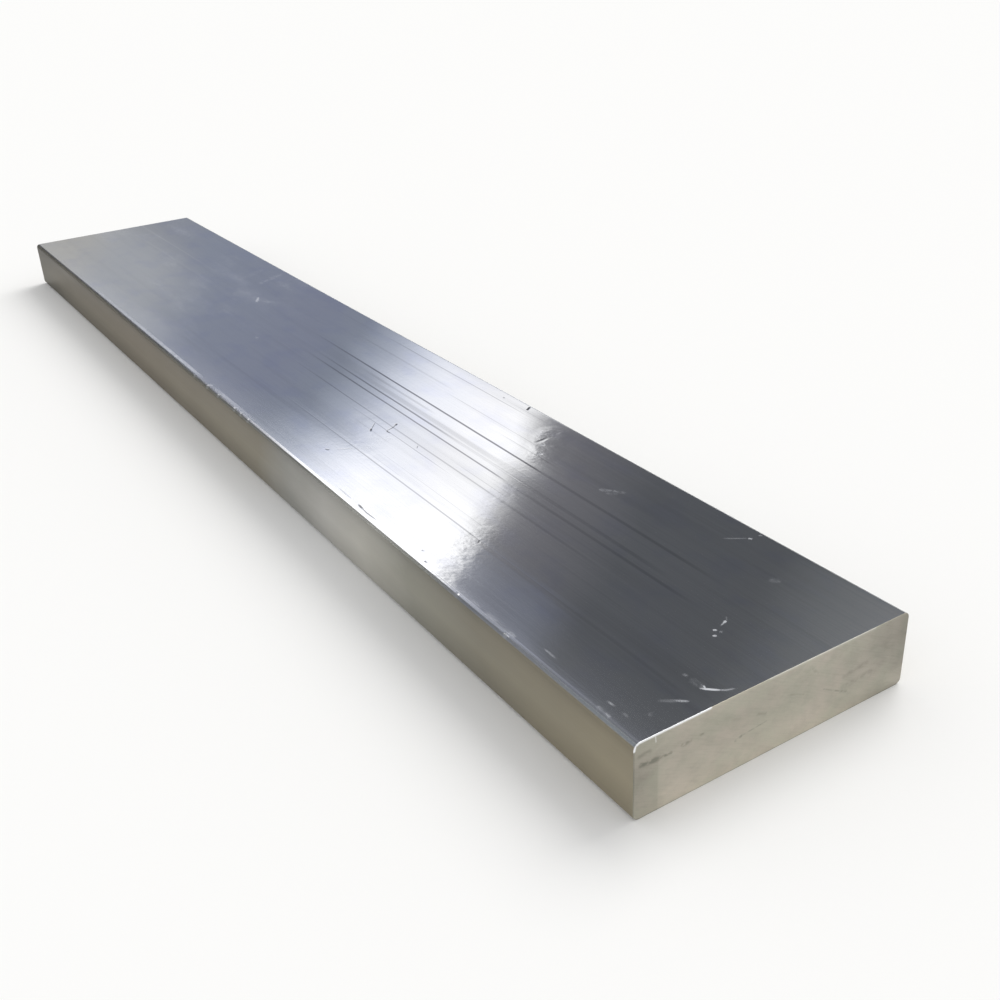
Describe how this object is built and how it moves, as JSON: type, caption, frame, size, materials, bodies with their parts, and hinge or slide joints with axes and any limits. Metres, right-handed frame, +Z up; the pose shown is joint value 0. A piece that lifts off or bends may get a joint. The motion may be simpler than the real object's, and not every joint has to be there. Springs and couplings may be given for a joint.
{
  "type": "aluminium flat bar",
  "caption": "Solid rectangular aluminium flat bar, a sawn length of extruded stock with rounded long corners, for machining or framing.",
  "frame": {"origin": "middle of the underside, at floor level, half way along the bar", "axes": "+X along the bar towards the end nearest the viewer in the picture, +Y across the width towards the far long edge, +Z up through the thickness"},
  "size_m": [0.6, 0.1, 0.025],
  "materials": {
    "mill_aluminium": "bright mill finish with lengthwise die lines on the wide faces, satin on the edges, sawn on the ends"
  },
  "bodies": {
    "root": {"flat_bar": "mill_aluminium"}
  },
  "joints": []
}
